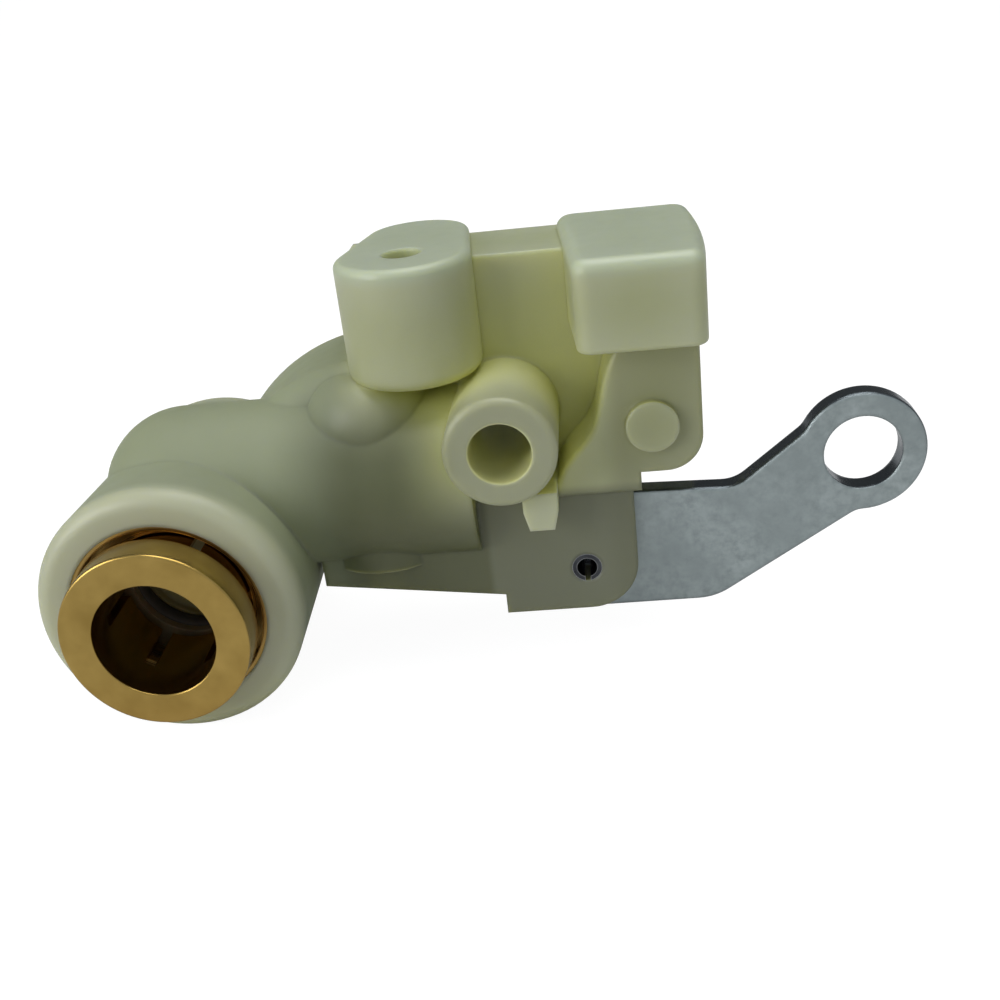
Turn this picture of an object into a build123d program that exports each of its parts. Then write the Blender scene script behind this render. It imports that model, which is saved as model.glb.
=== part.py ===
from build123d import *
import os

# Lanyard-pulled air horn valve with two push-in tube ports.
# Millimetres, +Z up. X runs along the lever, Y along the tube ports.
# The origin is the mouth of the mounting hole, in the top mounting face,
# and Y = 0 is the middle plane of the lever and of both ports.

# Tube ports
tube_bore_r = 4.85          # clears a 3/8 inch air tube of radius 4.76
port_x = -20.8              # port axis, measured from the mounting hole
port_drop = 24.5            # port axis below the mounting face
collet_face = 16.0          # middle plane to the front of a release collet
boss_face = 12.2            # middle plane to the end of a port boss
port_wall = 2.85            # boss round the sleeve, at the front end
port_back_wall = 2.0        # the same at the back end: the boss is tapered for the mould
port_boss_edge = 1.3        # rounding of the boss's outer edge

# Push-in cartridge in each port
sleeve_wall = 0.9           # at the wide end of its cone
sleeve_rim_set = 0.1        # rim of the brass sleeve below the boss face
mouth_wall = 0.35
mouth_depth = 2.4
guide_length = 0.7
cone_length = 2.0
cone_flare = 0.8
spacer_thick = 0.8
seal_side_gap = 0.05        # tube seal to spacer
spacer_clear = 0.1          # spacer bore larger than the tube bore
seal_wire = 1.9             # section of the tube seal
seal_grip = 0.25            # the free seal stands this far into the tube bore
tube_stop = 2.4             # middle plane to the shoulder that stops the tube
tube_end_long = 0.8         # tube end past its seal
stop_mouth_r = 3.3
web_between_ports = 1.3

# Release collet
collet_head_thick = 2.8
collet_head_chamfer = 0.25
mouth_clear = 0.15          # head to sleeve mouth, radial
neck_clear = 0.15           # neck to sleeve guide, radial
collet_neck_wall = 1.3
tail_gap = 0.15             # fingertips to the spacer when pushed right in
finger_flare = 0.6
flare_long = 1.2
tip_long = 0.4
slot_count = 6
slot_wide = 0.9
slot_set_back = 0.9         # start of the slots behind the head
grip_tooth = 0.12
collet_travel = 1.1         # push that lets the tube go

# Moulded body
barrel_r = 7.2              # cross barrel that joins the ports to the valve
barrel_rise = 5.8           # its axis above the port axis
barrel_right = 4.0
body_back = 9.5             # flat back of the wall, pads and blocks
wall_front = 1.0            # front of the main wall
wall_top = -1.0             # wall kept below the mounting face
shoulder_r = 16.6
shoulder_x = -3.6
shoulder_rise = -0.6
shoulder_front = -1.5
shoulder_edge = 2.5

# Round mounting pad with the screw hole
pad_r = 5.5
pad_back_r = 4.4
pad_back_x = 0.4
pad_back_y = 7.7
pad_tall = 9.9
pad_edge = 0.6
pad_foot_edge = 1.0
pilot_r = 1.6
pilot_deep = 8.0

# Right mounting pad
block_left = 13.4
block_right = 23.1
block_left_lean = 1.4       # the left side runs outward to the back
block_bow = 0.5             # the right side bows out
block_front = 8.0
block_tall = 7.2
block_edge = 1.0
block_corner = 1.2
block_back_corner = 1.6

# Lower block beside the pivot
low_front = 4.7
low_right = 22.7
low_bottom_rise = 6.0       # underside at the right, above the port axis
low_corner_r = 3.0
ledge_right = 17.6
ledge_rise = 4.4
recess_edge = [(16.7, 17.3), (14.7, 12.5), (13.8, 9.8), (11.8, 7.4), (10.6, 4.4)]
round_pad_x = 18.7
round_pad_rise = 10.2
round_pad_r = 2.1
round_pad_tall = 0.7

# Front boss with the cross screw hole
boss_x = 6.8
boss_rise = 10.4
boss_r = 4.5
boss_front = 9.0
boss_edge = 0.5
small_edge = 0.4            # rounding of the smaller moulded edges
screw_r = 2.5

# Stop tooth under the lower block
tooth_x = 9.4
tooth_wide = 2.8
tooth_tip_wide = 2.0
tooth_tall = 1.6
tooth_front = 7.2

# Skirt with the two ears that carry the pivot pin
ear_half = 4.2              # middle plane to the outside of an ear
slot_half = 1.3             # half the gap between the ears
pivot_x = 12.6
pivot_rise = -2.4
ear_r = 4.1
ear_right = 16.9
ear_top_rise = 4.6
skirt_left = -9.8
skirt_left_rise = -2.6
skirt_right_rise = -4.6
tab_left = 5.5
tab_rise = -6.4
slot_end_gap = 0.8          # lever nose to the end of the slot

# Lever plate
lever_thick = 2.0
lever_edge = 0.25
pin_r = 1.25
pin_wall = 0.4
pin_gap = 0.45              # slot along the rolled pin
lever_hole_clear = 0.05
eye_dx = 23.3               # pivot to the eye
eye_dz = 7.15
eye_r = 5.2
eye_hole_r = 3.2
top_join_angle = 154        # where the arm's two edges meet the eye
low_join_angle = 265
top_aim_angle = 129         # the edges run on into the eye, to a point this way round
low_aim_angle = 285
top_aim_r = 4.66
low_aim_r = 4.35
nose_x = -7.0
nose_low_rise = -3.2
arm_top_rise = -0.9
heel_top_rise = 3.1
heel_low_rise = -7.95
heel_left_x = 8.4
heel_right_x = 23.4
heel_round = 5.0
valley_x = 25.5
valley_rise = 2.5
valley_round = 3.0
neck_round = 2.0
nose_round = 0.7
arm_low_x = 4.5
arm_low_rise = -4.5

# Poppet valve in the upright bore
valve_x = -4.5
column_r = 5.35
column_foot_rise = -1.0
column_round = 4.0
bore_r = 4.0
bore_foot_rise = -3.6
chamber_r = 3.6
chamber_step_rise = 12.2
spring_pocket_r = 2.8
seat_stop_rise = 7.7        # shoulder that the seat insert is pressed against
chamber_top_rise = 14.0
column_top_rise = 15.2
seat_thick = 1.8
seat_hole_r = 1.9
seat_lip = 0.3
seat_lip_wall = 0.5
seat_seal_wire = 1.0
guide_foot_rise = 2.2
guide_top_rise = 4.4
plunger_seal_wire = 1.3
plunger_r = 1.5
plunger_foot_r = 0.9
plunger_tip_r = 1.0
plunger_clear = 0.05
plunger_foot_rise = -0.7
plunger_step_rise = 5.2
ring_thick = 0.5
ring_bore_r = 2.6
ring_notches = 6
ring_notch_deep = 1.2
ring_notch_wide = 0.5
poppet_r = 2.9
poppet_face_thick = 0.8
poppet_face_r = 1.3
poppet_disc_thick = 0.8
poppet_spigot_r = 1.9
poppet_spigot_long = 1.5
lift_gap = 0.2              # plunger tip to poppet, and lever nose to plunger
spring_wire_r = 0.22
spring_turns = 4.0
spring_clear = 0.12

# Air passages
passage_r = 0.85
supply_rise = 1.2
supply_high_rise = 10.1
delivery_rise = 0.0
delivery_high_rise = 5.1
passage_y = 1.55

# How far the cuts run past the faces they open
overrun = 1.0

# Derived places
port_z = -port_drop
pivot_z = port_z + pivot_rise
eye_x = pivot_x + eye_dx
eye_z = pivot_z + eye_dz
barrel_z = port_z + barrel_rise
boss_z = port_z + boss_rise
neck_r = tube_bore_r + collet_neck_wall
guide_r = neck_r + neck_clear
cone_r = guide_r + cone_flare
sleeve_r = cone_r + sleeve_wall
mouth_r = sleeve_r - mouth_wall
collet_head_r = mouth_r - mouth_clear
port_boss_r = sleeve_r + port_wall
port_boss_back_r = sleeve_r + port_back_wall
seal_pocket_r = tube_bore_r - seal_grip + seal_wire
seal_foot = tube_stop + tube_end_long
seal_mid = seal_foot + seal_wire / 2
spacer_foot = seal_foot + seal_wire + seal_side_gap
spacer_top = spacer_foot + spacer_thick
sleeve_rim = boss_face - sleeve_rim_set
collet_tail = spacer_top + tail_gap + collet_travel
seat_foot_rise = seat_stop_rise - seat_thick
seat_top_rise = seat_stop_rise + seat_lip
ring_foot_rise = guide_foot_rise - ring_thick
poppet_back_rise = seat_top_rise + poppet_face_thick
poppet_top_rise = poppet_back_rise + poppet_disc_thick
spring_coil_r = poppet_spigot_r + spring_clear + spring_wire_r

front_plane = Plane.XZ
port_axis = Axis((port_x, 0, port_z), (0, 1, 0))
port_section = Plane(origin=(port_x, 0, port_z), x_dir=(1, 0, 0), z_dir=(0, 0, 1))
valve_axis = Axis((valve_x, 0, port_z), (0, 0, 1))
valve_section = Plane(origin=(valve_x, 0, port_z), x_dir=(1, 0, 0), z_dir=(0, -1, 0))

os.makedirs("parts", exist_ok=True)


def save(piece, name):
    """Label a finished piece and write it as one STEP file."""
    piece.part.label = name
    export_step(piece.part, f"parts/{name}.step")


def facing(side, *points):
    """Turn (radius, distance) points of a half section to face one side."""
    return [(r, side * a) for r, a in points]


def above_port(*points):
    """Turn (X, height above the port axis) points into front view points."""
    return [(x, port_z + rise) for x, rise in points]


def round_eye(radius, angle):
    """Point round the lever's eye, in the front view."""
    arm = Vector(radius, 0).rotate(Axis.Z, angle)
    return (eye_x + arm.X, eye_z + arm.Y)


# Round left shoulder of the wall, made on its own so that its front edge rounds
with BuildPart() as shoulder:
    with BuildSketch(front_plane.offset(-shoulder_front)):
        with Locations((shoulder_x, port_z + shoulder_rise)):
            Circle(shoulder_r)
        with Locations((0, port_z + shoulder_r + barrel_rise)):
            Rectangle(shoulder_r * 2, shoulder_r * 2, mode=Mode.INTERSECT)
        with Locations((0, barrel_z)):
            Rectangle(
                shoulder_r,
                shoulder_r,
                align=(Align.MIN, Align.MIN),
                mode=Mode.SUBTRACT,
            )
    extrude(amount=-(body_back - shoulder_front))
    front_rim = shoulder.edges().filter_by(GeomType.CIRCLE).sort_by(Axis.Y)[0]
    fillet(front_rim, radius=shoulder_edge)

# Round mounting pad
with BuildPart() as round_mount:
    with BuildSketch(Plane.XY.offset(-pad_tall)):
        Circle(pad_r)
        with Locations((pad_back_x, pad_back_y)):
            Circle(pad_back_r)
        make_hull()
    extrude(amount=pad_tall)
    fillet(round_mount.edges().group_by(Axis.Z)[-1], radius=pad_edge)
    fillet(round_mount.edges().group_by(Axis.Z)[0], radius=pad_foot_edge)

# Right mounting pad
with BuildPart() as right_mount:
    with BuildSketch(Plane.XY.offset(-block_tall)) as block_plan:
        with BuildLine():
            Polyline(
                (block_right, body_back),
                (block_left - block_left_lean, body_back),
                (block_left, -block_front),
                (block_right, -block_front),
            )
            ThreePointArc(
                (block_right, -block_front),
                (block_right + block_bow, 0),
                (block_right, body_back),
            )
        make_face()
        front_corners = block_plan.vertices().group_by(Axis.Y)[0]
        fillet(front_corners, radius=block_corner)
        back_corners = block_plan.vertices().group_by(Axis.Y)[-1]
        fillet(back_corners, radius=block_back_corner)
    extrude(amount=block_tall)
    fillet(right_mount.edges().group_by(Axis.Z)[-1], radius=block_edge)
    fillet(right_mount.edges().group_by(Axis.Z)[0], radius=small_edge)

# Lower block beneath the right pad
low_top = -block_tall / 2
low_bottom = port_z + low_bottom_rise
ledge_z = port_z + ledge_rise
recess_points = above_port(*recess_edge)
corner_left = (low_right - low_corner_r, low_bottom)
corner_right = (low_right, low_bottom + low_corner_r)
with BuildPart() as lower_block:
    with BuildSketch(front_plane.offset(low_front)):
        with BuildLine():
            Spline(*recess_points)
            Polyline(
                recess_points[-1],
                (ledge_right, ledge_z),
                (ledge_right, low_bottom),
                corner_left,
            )
            RadiusArc(corner_left, corner_right, -low_corner_r)
            Polyline(
                corner_right,
                (low_right, low_top),
                (recess_points[0][0], low_top),
                recess_points[0],
            )
        make_face()
    extrude(amount=-(body_back + low_front))
    front_face_edges = lower_block.edges().group_by(Axis.Y)[0]
    fillet(front_face_edges, radius=small_edge)

# Front boss for the cross screw
with BuildPart() as front_boss:
    with BuildSketch(front_plane.offset(boss_front)):
        with Locations((boss_x, boss_z)):
            Circle(boss_r)
    extrude(amount=-(body_back + boss_front))
    fillet(front_boss.edges().group_by(Axis.Y)[0], radius=boss_edge)

# Skirt: both ears in one block, slotted later for the lever
ear_low = port_z + tab_rise
ear_top = port_z + ear_top_rise
with BuildPart() as skirt:
    with BuildSketch(front_plane):
        with BuildLine():
            Polyline(
                (ear_right - ear_r, ear_low),
                (tab_left, ear_low),
                (tab_left, port_z + skirt_right_rise),
                (skirt_left, port_z + skirt_left_rise),
                (skirt_left, ear_top),
                (ear_right, ear_top),
                (ear_right, ear_low + ear_r),
            )
            RadiusArc(
                (ear_right, ear_low + ear_r),
                (ear_right - ear_r, ear_low),
                ear_r,
            )
        make_face()
    extrude(amount=ear_half, both=True)
    outer_edges = skirt.edges().group_by(Axis.Y)[0] + skirt.edges().group_by(Axis.Y)[-1]
    fillet(outer_edges, radius=small_edge)

# Moulded body: one nylon moulding that holds everything else
with BuildPart() as valve_body:
    # Round boss for both ports, tapered from front to back
    with BuildSketch(port_section):
        Polygon(
            (0, -boss_face),
            (port_boss_r, -boss_face),
            (port_boss_back_r, boss_face),
            (0, boss_face),
            align=None,
        )
    revolve(axis=port_axis)
    rims = valve_body.edges().filter_by(GeomType.CIRCLE)
    fillet(rims, radius=port_boss_edge)

    # Cross barrel with a domed left end
    with BuildSketch(Plane.YZ.offset(port_x)):
        with Locations((0, barrel_z)):
            Circle(barrel_r)
    extrude(amount=barrel_right - port_x)
    with Locations((port_x, 0, barrel_z)):
        Sphere(barrel_r)

    # Upright column round the valve bore, domed over the spring
    with BuildSketch(valve_section):
        with BuildLine():
            Polyline(
                (0, column_top_rise),
                (0, column_foot_rise),
                (column_r, column_foot_rise),
                (column_r, column_top_rise - column_round),
            )
            RadiusArc(
                (column_r, column_top_rise - column_round),
                (column_r - column_round, column_top_rise),
                -column_round,
            )
            Line((column_r - column_round, column_top_rise), (0, column_top_rise))
        make_face()
    revolve(axis=valve_axis)

    # Main wall behind the middle plane
    with BuildSketch(front_plane.offset(-wall_front)):
        Polygon(
            (shoulder_x, ledge_z),
            (ledge_right, ledge_z),
            (ledge_right, low_bottom),
            (low_right, low_bottom),
            (low_right, wall_top),
            (-pad_r, wall_top),
            (-pad_r, ledge_z),
            align=None,
        )
    extrude(amount=-(body_back - wall_front))

    # Pads, blocks and skirt made above
    add(shoulder.part)
    add(round_mount.part)
    add(right_mount.part)
    add(lower_block.part)
    add(front_boss.part)
    add(skirt.part)

    # Stop tooth
    tooth_half = tooth_wide / 2
    tip_half = tooth_tip_wide / 2
    with BuildSketch(front_plane.offset(tooth_front)):
        Polygon(
            (tooth_x - tooth_half, ledge_z + tooth_tall),
            (tooth_x - tooth_half, ledge_z),
            (tooth_x - tip_half, ledge_z - tooth_tall),
            (tooth_x + tip_half, ledge_z - tooth_tall),
            (tooth_x + tooth_half, ledge_z),
            (tooth_x + tooth_half, ledge_z + tooth_tall),
            align=None,
        )
    extrude(amount=-(tooth_front + body_back / 2))

    # Round pad on the lower block
    with BuildSketch(front_plane.offset(low_front)):
        with Locations((round_pad_x, port_z + round_pad_rise)):
            Circle(round_pad_r)
    extrude(amount=round_pad_tall)

    # Port pockets, stepped for sleeve, spacer, seal and tube end
    for side in (-1, 1):
        with BuildSketch(port_section):
            Polygon(
                *facing(
                    side,
                    (0, boss_face + overrun),
                    (sleeve_r, boss_face + overrun),
                    (sleeve_r, spacer_foot),
                    (seal_pocket_r, spacer_foot),
                    (seal_pocket_r, seal_foot),
                    (tube_bore_r, seal_foot),
                    (tube_bore_r, tube_stop),
                    (stop_mouth_r, tube_stop),
                    (stop_mouth_r, web_between_ports / 2),
                    (0, web_between_ports / 2),
                ),
                align=None,
            )
        revolve(axis=port_axis, mode=Mode.SUBTRACT)

    # Stepped valve bore
    with BuildSketch(valve_section):
        Polygon(
            (0, bore_foot_rise - overrun),
            (bore_r, bore_foot_rise - overrun),
            (bore_r, seat_stop_rise),
            (chamber_r, seat_stop_rise),
            (chamber_r, chamber_step_rise),
            (spring_pocket_r, chamber_step_rise),
            (spring_pocket_r, chamber_top_rise),
            (0, chamber_top_rise),
            align=None,
        )
    revolve(axis=valve_axis, mode=Mode.SUBTRACT)

    # Slot for the lever between the ears
    slot_left = nose_x - slot_end_gap
    slot_low = port_z - barrel_r * 2
    with BuildSketch(front_plane):
        Polygon(
            (slot_left, slot_low),
            (slot_left, port_z + ring_foot_rise),
            (barrel_right, port_z + ring_foot_rise),
            (tab_left, ledge_z),
            (ear_right + overrun, ledge_z),
            (ear_right + overrun, slot_low),
            align=None,
        )
    extrude(amount=slot_half, both=True, mode=Mode.SUBTRACT)

    # Pivot hole through both ears
    with BuildSketch(front_plane):
        with Locations((pivot_x, pivot_z)):
            Circle(pin_r)
    extrude(amount=ear_half + overrun, both=True, mode=Mode.SUBTRACT)

    # Cross screw hole, right through the body
    with BuildSketch(front_plane.offset(boss_front + overrun)):
        with Locations((boss_x, boss_z)):
            Circle(screw_r)
    extrude(amount=-(body_back + boss_front + 2 * overrun), mode=Mode.SUBTRACT)

    # Blind screw hole in the round mounting pad
    with BuildSketch(Plane.XY):
        Circle(pilot_r)
    extrude(amount=-pilot_deep, mode=Mode.SUBTRACT)

    # Passages from the two ports to the two valve chambers
    for side, low, high in (
        (1, supply_rise, supply_high_rise),
        (-1, delivery_rise, delivery_high_rise),
    ):
        start = Vector(port_x, side * passage_y, port_z + low)
        end = Vector(valve_x, 0, port_z + high)
        with BuildSketch(Plane(origin=start, z_dir=end - start)):
            Circle(passage_r)
        run = (end - start).length - chamber_r / 2
        extrude(amount=run, mode=Mode.SUBTRACT)

save(valve_body, "valve_body")

# Push-in cartridge for each port
mouth_foot = sleeve_rim - mouth_depth
guide_foot = mouth_foot - guide_length
cone_foot = guide_foot - cone_length
head_back = collet_face - collet_head_thick
flare_r = neck_r + finger_flare
slot_top = head_back - slot_set_back
for side, port in ((-1, "delivery"), (1, "supply")):
    with BuildPart() as sleeve:
        with BuildSketch(port_section):
            Polygon(
                *facing(
                    side,
                    (sleeve_r, sleeve_rim),
                    (sleeve_r, spacer_top),
                    (cone_r, spacer_top),
                    (cone_r, cone_foot),
                    (guide_r, guide_foot),
                    (guide_r, mouth_foot),
                    (mouth_r, mouth_foot),
                    (mouth_r, sleeve_rim),
                ),
                align=None,
            )
        revolve(axis=port_axis)
    save(sleeve, f"{port}_sleeve")

    with BuildPart() as collet:
        with BuildSketch(port_section):
            Polygon(
                *facing(
                    side,
                    (tube_bore_r, collet_face),
                    (collet_head_r - collet_head_chamfer, collet_face),
                    (collet_head_r, collet_face - collet_head_chamfer),
                    (collet_head_r, head_back),
                    (neck_r, head_back),
                    (neck_r, collet_tail + tip_long + flare_long),
                    (flare_r, collet_tail + tip_long),
                    (neck_r, collet_tail),
                    (tube_bore_r - grip_tooth, collet_tail),
                    (tube_bore_r, collet_tail + tip_long),
                ),
                align=None,
            )
        revolve(axis=port_axis)
        slot_plane = Plane(
            origin=(port_x, side * slot_top, port_z),
            x_dir=(1, 0, 0),
            z_dir=(0, -side, 0),
        )
        with BuildSketch(slot_plane):
            with PolarLocations(0, slot_count):
                Rectangle(flare_r + overrun, slot_wide, align=(Align.MIN, Align.CENTER))
        extrude(amount=slot_top - collet_tail + overrun, mode=Mode.SUBTRACT)
    save(collet, f"{port}_collet")

    with BuildPart() as spacer:
        with BuildSketch(port_section):
            Polygon(
                *facing(
                    side,
                    (tube_bore_r + spacer_clear, spacer_foot),
                    (sleeve_r, spacer_foot),
                    (sleeve_r, spacer_top),
                    (tube_bore_r + spacer_clear, spacer_top),
                ),
                align=None,
            )
        revolve(axis=port_axis)
    save(spacer, f"{port}_spacer")

    with BuildPart() as tube_seal:
        with BuildSketch(port_section):
            with Locations((seal_pocket_r - seal_wire / 2, side * seal_mid)):
                Circle(seal_wire / 2)
        revolve(axis=port_axis)
    save(tube_seal, f"{port}_tube_seal")

# Seat insert, pressed up against the shoulder of the bore
groove_r = bore_r - seat_seal_wire
groove_foot = seat_foot_rise + (seat_thick - seat_seal_wire) / 2
groove_top = groove_foot + seat_seal_wire
with BuildPart() as valve_seat:
    with BuildSketch(valve_section):
        Polygon(
            (seat_hole_r, seat_foot_rise),
            (bore_r, seat_foot_rise),
            (bore_r, groove_foot),
            (groove_r, groove_foot),
            (groove_r, groove_top),
            (bore_r, groove_top),
            (bore_r, seat_stop_rise),
            (seat_hole_r + seat_lip_wall, seat_stop_rise),
            (seat_hole_r + seat_lip_wall, seat_top_rise),
            (seat_hole_r, seat_top_rise),
            align=None,
        )
    revolve(axis=valve_axis)
save(valve_seat, "valve_seat")

with BuildPart() as seat_seal:
    with BuildSketch(valve_section):
        with Locations((groove_r + seat_seal_wire / 2, groove_foot + seat_seal_wire / 2)):
            Circle(seat_seal_wire / 2)
    revolve(axis=valve_axis)
save(seat_seal, "seat_seal")

# Poppet with its rubber face, held shut by the spring
poppet_tip_rise = poppet_top_rise + poppet_spigot_long
with BuildPart() as poppet:
    with BuildSketch(valve_section):
        Polygon(
            (0, seat_top_rise),
            (poppet_face_r, seat_top_rise),
            (poppet_face_r, poppet_back_rise),
            (poppet_r, poppet_back_rise),
            (poppet_r, poppet_top_rise),
            (poppet_spigot_r, poppet_top_rise),
            (poppet_spigot_r, poppet_tip_rise),
            (0, poppet_tip_rise),
            align=None,
        )
    revolve(axis=valve_axis)
save(poppet, "poppet")

with BuildPart() as poppet_face:
    with BuildSketch(valve_section):
        Polygon(
            (poppet_face_r, seat_top_rise),
            (poppet_r, seat_top_rise),
            (poppet_r, poppet_back_rise),
            (poppet_face_r, poppet_back_rise),
            align=None,
        )
    revolve(axis=valve_axis)
save(poppet_face, "poppet_face")

spring_foot = port_z + poppet_top_rise + spring_wire_r
spring_tall = chamber_top_rise - poppet_top_rise - 2 * spring_wire_r
with BuildPart() as return_spring:
    with BuildLine():
        coil = Helix(
            pitch=spring_tall / spring_turns,
            height=spring_tall,
            radius=spring_coil_r,
            center=(valve_x, 0, spring_foot),
        )
    with BuildSketch(coil ^ 0):
        Circle(spring_wire_r)
    sweep(path=coil, is_frenet=True)
save(return_spring, "return_spring")

# Plunger that the lever lifts, with its guide, seal and retaining ring
plunger_top_rise = seat_top_rise - lift_gap
foot_chamfer = plunger_r - plunger_foot_r
with BuildPart() as plunger:
    with BuildSketch(valve_section):
        Polygon(
            (0, plunger_foot_rise),
            (plunger_foot_r, plunger_foot_rise),
            (plunger_r, plunger_foot_rise + foot_chamfer),
            (plunger_r, plunger_step_rise),
            (plunger_tip_r, plunger_step_rise + plunger_r - plunger_tip_r),
            (plunger_tip_r, plunger_top_rise),
            (0, plunger_top_rise),
            align=None,
        )
    revolve(axis=valve_axis)
save(plunger, "plunger")

pocket_r = plunger_r + plunger_seal_wire
pocket_foot_rise = guide_top_rise - plunger_seal_wire
plunger_seal_mid = guide_top_rise - plunger_seal_wire / 2
with BuildPart() as plunger_guide:
    with BuildSketch(valve_section):
        Polygon(
            (plunger_r + plunger_clear, guide_foot_rise),
            (bore_r, guide_foot_rise),
            (bore_r, guide_top_rise),
            (pocket_r, guide_top_rise),
            (pocket_r, pocket_foot_rise),
            (plunger_r + plunger_clear, pocket_foot_rise),
            align=None,
        )
    revolve(axis=valve_axis)
save(plunger_guide, "plunger_guide")

with BuildPart() as plunger_seal:
    with BuildSketch(valve_section):
        with Locations((pocket_r - plunger_seal_wire / 2, plunger_seal_mid)):
            Circle(plunger_seal_wire / 2)
    revolve(axis=valve_axis)
save(plunger_seal, "plunger_seal")

with BuildPart() as retaining_ring:
    with BuildSketch(Plane.XY.offset(port_z + ring_foot_rise)):
        with Locations((valve_x, 0)):
            Circle(bore_r)
            Circle(ring_bore_r, mode=Mode.SUBTRACT)
            with PolarLocations(ring_bore_r, ring_notches):
                Rectangle(ring_notch_deep, ring_notch_wide, mode=Mode.SUBTRACT)
    extrude(amount=ring_thick)
save(retaining_ring, "retaining_ring")

# Rolled pivot pin, pressed into both ears
with BuildPart() as pivot_pin:
    with BuildSketch(front_plane):
        with Locations((pivot_x, pivot_z)):
            Circle(pin_r)
            Circle(pin_r - pin_wall, mode=Mode.SUBTRACT)
            Rectangle(
                pin_gap,
                pin_r * 2,
                align=(Align.CENTER, Align.MAX),
                mode=Mode.SUBTRACT,
            )
    extrude(amount=ear_half, both=True)
save(pivot_pin, "pivot_pin")

# Lever plate, stamped from flat steel
valley = (valley_x, port_z + valley_rise)
heel_corner = (heel_right_x, port_z + heel_low_rise)
top_aim = round_eye(top_aim_r, top_aim_angle)
low_aim = round_eye(low_aim_r, low_aim_angle)
top_join = round_eye(eye_r, top_join_angle)
low_join = round_eye(eye_r, low_join_angle)
with BuildPart() as lever:
    with BuildSketch(front_plane):
        Polygon(
            (nose_x, port_z + nose_low_rise),
            (nose_x, port_z + arm_top_rise),
            (tab_left, port_z + arm_top_rise),
            (heel_left_x, port_z + heel_top_rise),
            valley,
            top_aim,
            low_aim,
            heel_corner,
            (heel_left_x, port_z + heel_low_rise),
            (arm_low_x, port_z + arm_low_rise),
            align=None,
        )
        with Locations((eye_x, eye_z)):
            Circle(eye_r)
        with Locations((eye_x, eye_z)):
            Circle(eye_hole_r, mode=Mode.SUBTRACT)
        with Locations((pivot_x, pivot_z)):
            Circle(pin_r + lever_hole_clear, mode=Mode.SUBTRACT)
    extrude(amount=lever_thick / 2, both=True)
    for corner, radius in (
        (top_join, neck_round),
        (low_join, neck_round),
        (valley, valley_round),
        (heel_corner, heel_round),
        ((nose_x, port_z + arm_top_rise), nose_round),
        ((nose_x, port_z + nose_low_rise), nose_round),
    ):
        place = (corner[0], 0, corner[1])
        corners = lever.edges().filter_by(Axis.Y)
        fillet(corners.sort_by_distance(place)[0], radius=radius)
    plate_sides = lever.faces().filter_by(Plane.XZ)
    for plate_side in plate_sides:
        fillet(plate_side.outer_wire().edges(), radius=lever_edge)
save(lever, "lever")
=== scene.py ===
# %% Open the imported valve
import math
from math import cos, pi, radians, sin

import bmesh
import bpy
from mathutils import Matrix, Vector


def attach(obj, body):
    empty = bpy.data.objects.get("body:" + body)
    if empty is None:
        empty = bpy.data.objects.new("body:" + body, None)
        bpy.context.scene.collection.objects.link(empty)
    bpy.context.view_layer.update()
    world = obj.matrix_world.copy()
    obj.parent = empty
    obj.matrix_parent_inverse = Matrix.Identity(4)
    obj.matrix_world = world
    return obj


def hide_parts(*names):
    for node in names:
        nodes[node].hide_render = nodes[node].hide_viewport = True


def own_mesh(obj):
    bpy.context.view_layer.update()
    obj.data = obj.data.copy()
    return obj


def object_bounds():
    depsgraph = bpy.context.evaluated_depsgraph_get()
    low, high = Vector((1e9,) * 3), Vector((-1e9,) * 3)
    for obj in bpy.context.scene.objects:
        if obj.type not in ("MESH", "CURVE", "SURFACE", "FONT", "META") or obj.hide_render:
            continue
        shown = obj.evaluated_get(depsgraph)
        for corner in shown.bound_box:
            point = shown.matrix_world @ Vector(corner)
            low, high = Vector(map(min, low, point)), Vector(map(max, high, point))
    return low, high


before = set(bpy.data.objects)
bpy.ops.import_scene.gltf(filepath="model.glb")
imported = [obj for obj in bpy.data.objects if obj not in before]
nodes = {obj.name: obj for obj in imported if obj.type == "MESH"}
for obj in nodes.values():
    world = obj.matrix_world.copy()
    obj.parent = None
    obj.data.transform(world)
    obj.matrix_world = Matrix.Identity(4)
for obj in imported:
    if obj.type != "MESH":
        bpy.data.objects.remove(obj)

scene = bpy.context.scene
cad_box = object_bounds()
MM = 0.001
print("solids on the frame:", len(nodes))

# %% [markdown]
# Everything sits in the frame of the solids: metres, X along the lever, Y along the
# tube ports, Z up, and the origin at the mouth of the mounting hole. The few places
# that several pieces share are written down once, in millimetres. A rise is a height
# above the port axis.

# %% Shared places
PORT_X, PORT_Z = -20.8, -24.5
VALVE_X = -4.5
BOSS_X, BOSS_RISE = 6.8, 10.4

# %% [markdown]
# The camera stands where the photographer stood: in front of the ports, a little to
# the left of square and above the part. Its place came from fitting straight edges
# and round rims in the picture, so the render can be laid over it.

# %% Camera
yaw, pitch, roll = radians(5.72), radians(24.40), radians(6.69)
forward = Vector((-sin(yaw) * cos(pitch), cos(yaw) * cos(pitch), -sin(pitch)))
level_right = Vector((cos(yaw), sin(yaw), 0.0))
level_down = forward.cross(level_right)
right = cos(roll) * level_right + sin(roll) * level_down
down = cos(roll) * level_down - sin(roll) * level_right
turn = Matrix((right, -down, -forward)).transposed().to_4x4()
camera_data = bpy.data.cameras.new("photo_camera")
camera_data.sensor_width = 36.0
camera_data.lens = 45.43
camera_data.clip_start = 0.002
camera_data.clip_end = 20.0
camera = bpy.data.objects.new("photo_camera", camera_data)
camera.matrix_world = Matrix.Translation(Vector((15.36, -98.10, 22.71)) * MM) @ turn
scene.collection.objects.link(camera)
scene.camera = camera
scene.view_settings.view_transform = "Standard"
print("camera at", [round(c, 4) for c in camera.matrix_world.translation])

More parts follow.
